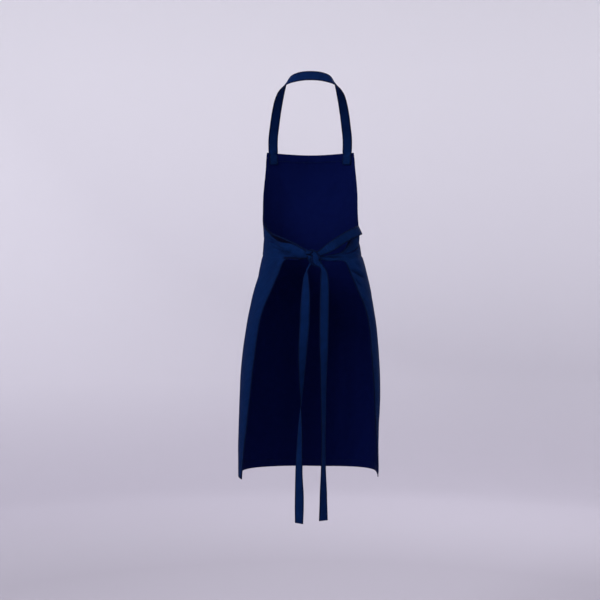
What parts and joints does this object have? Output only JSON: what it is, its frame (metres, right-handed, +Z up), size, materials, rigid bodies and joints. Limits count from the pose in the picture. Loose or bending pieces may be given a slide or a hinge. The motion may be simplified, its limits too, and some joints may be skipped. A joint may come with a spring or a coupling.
{
  "type": "kitchen bib apron",
  "caption": "Kitchen bib apron in navy cloth, in its worn form: bib and wrapped skirt, a neck strap, and two waist ties knotted behind with hanging ends.",
  "frame": {"origin": "top edge of the neck strap at the middle of the nape, where the worn apron hangs", "axes": "+Z up the wearer, +Y out of the wearer's back, so the bib faces -Y and the knot +Y; +X is the wearer's left"},
  "size_m": [0.3691, 0.2799, 1.1505],
  "materials": {
    "panel_cloth": "matte fine cotton twill",
    "strap_cloth": "matte folded cotton twill strap"
  },
  "bodies": {
    "root": {"apron_panel": "panel_cloth", "neck_strap": "strap_cloth", "waist_tie_left": "strap_cloth", "waist_tie_right": "strap_cloth"}
  },
  "joints": []
}
